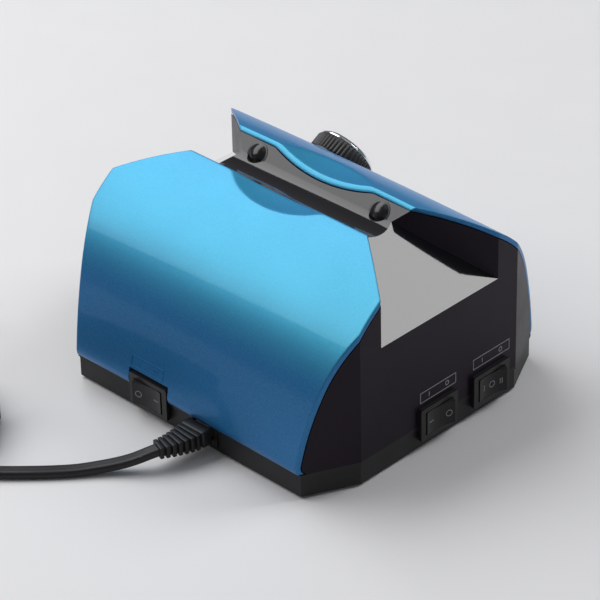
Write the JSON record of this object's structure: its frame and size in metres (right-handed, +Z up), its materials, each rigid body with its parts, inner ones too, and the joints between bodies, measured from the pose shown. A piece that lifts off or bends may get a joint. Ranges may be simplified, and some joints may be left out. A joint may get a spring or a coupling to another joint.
{
  "type": "nail drill control box",
  "caption": "Table-top control box of an electric nail drill, with a cradle across the top for the handpiece, a speed knob, rocker switches and a mains lead.",
  "frame": {"origin": "on the table, under the middle of the box round housing, switches and knob, cord left out", "axes": "+Z up, +X along the handpiece cradle, -Y to the user's side with the speed knob, +Y to the rear with the mains lead"},
  "size_m": [0.2354, 0.2437, 0.0886],
  "materials": {
    "shell_blue": "pearl, metallic blue, gloss",
    "housing_black": "gloss in the valley, fine texture on the flanks",
    "tray_black": "fine texture",
    "bumper_rubber": "smooth, domed",
    "knob_black": "satin",
    "bright_rim": "mirror",
    "knob_face": "spun",
    "shaft_metal": "turned",
    "plated_steel": "zinc plated",
    "switch_black": "satin",
    "rocker_black": "satin gloss",
    "contact_brass": "tinned",
    "connector_black": "fine texture",
    "nut_nickel": "nickel plated",
    "lamp_lens": "clear red",
    "board_green": "lacquered",
    "core_steel": "varnished laminations",
    "coil_tape": "polyester tape",
    "capacitor_sleeve": "printed sleeve",
    "sink_aluminium": "extruded",
    "resin_black": "moulded resin",
    "fuse_glass": "clear",
    "screw_steel": "black zinc",
    "foot_rubber": "matte",
    "cord_black": "satin PVC",
    "pin_nickel": "nickel plated"
  },
  "bodies": {
    "control_box": {"base_tray": "tray_black", "housing": "housing_black", "rear_shell": "shell_blue", "front_shell": "shell_blue", "cradle_bumpers": "bumper_rubber", "knob_collar": "knob_black", "speed_pot": "plated_steel", "pot_nut": "plated_steel", "power_switch": "switch_black", "mode_switch": "switch_black", "direction_switch": "switch_black", "switch_terminals": "contact_brass", "mains_inlet": "connector_black", "inlet_pins": "pin_nickel", "handpiece_socket": "connector_black", "pedal_socket": "connector_black", "socket_nuts": "nut_nickel", "power_lamp": "lamp_lens", "supply_board": "board_green", "control_board": "board_green", "trafo_core": "core_steel", "trafo_coil": "coil_tape", "capacitors": "capacitor_sleeve", "heat_sink": "sink_aluminium", "power_transistors": "resin_black", "fuse": "fuse_glass", "board_screws": "screw_steel", "base_screws": "screw_steel", "rubber_feet": "foot_rubber", "lead_connector": "connector_black", "mains_cord": "cord_black", "cord_tail": "cord_black", "cord_coil": "cord_black", "cord_tie": "connector_black", "mains_plug": "connector_black", "plug_pins": "pin_nickel"},
    "knob": {"knob_grip": "knob_black", "knob_rim": "bright_rim", "knob_cap": "knob_face", "pot_shaft": "shaft_metal"},
    "power_rocker": {"power_rocker": "rocker_black"},
    "mode_rocker": {"mode_rocker": "rocker_black"},
    "direction_rocker": {"direction_rocker": "rocker_black"}
  },
  "joints": [
    {"name": "speed_knob", "type": "hinge", "parent": "control_box", "child": "knob", "pos_m": [0.0385, -0.0555, 0.05498], "axis": [0.0054, -0.8746, 0.4848], "range_deg": [-150, 150]},
    {"name": "power_rock", "type": "hinge", "parent": "control_box", "child": "power_rocker", "pos_m": [0.0217, 0.0666, 0.011], "axis": [0, 0, 1], "range_deg": [-16, 0]},
    {"name": "mode_rock", "type": "hinge", "parent": "control_box", "child": "mode_rocker", "pos_m": [-0.071, 0.0022, 0.0122], "axis": [0, 0, 1], "range_deg": [0, 16]},
    {"name": "direction_rock", "type": "hinge", "parent": "control_box", "child": "direction_rocker", "pos_m": [-0.071, -0.0284, 0.0122], "axis": [0, 0, 1], "range_deg": [0, 16]}
  ]
}
